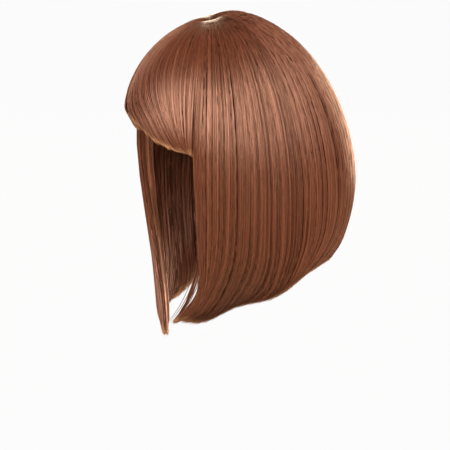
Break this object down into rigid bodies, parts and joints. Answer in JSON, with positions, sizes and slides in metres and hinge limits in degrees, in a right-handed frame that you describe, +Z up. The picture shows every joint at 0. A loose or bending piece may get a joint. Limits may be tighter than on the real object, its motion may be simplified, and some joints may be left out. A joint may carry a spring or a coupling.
{
  "type": "bob wig",
  "caption": "Straight bob wig with a full fringe and longer front sides, in the form it has when worn, on an open cap.",
  "frame": {"origin": "top of the wearer's head, on the inside of the cap", "axes": "+Z up, the face opening towards -Y, +X towards the wearer's left"},
  "size_m": [0.215, 0.2628, 0.3541],
  "materials": {
    "hair": "glossy straight synthetic hair, chestnut brown",
    "cap_cloth": "matt dark stretch net",
    "patch_skin_tone": "matt pale skin tone"
  },
  "bodies": {
    "root": {"cap": "cap_cloth", "crown_patch": "patch_skin_tone", "fringe": "hair", "left_side_hair": "hair", "right_side_hair": "hair", "back_hair": "hair"}
  },
  "joints": []
}
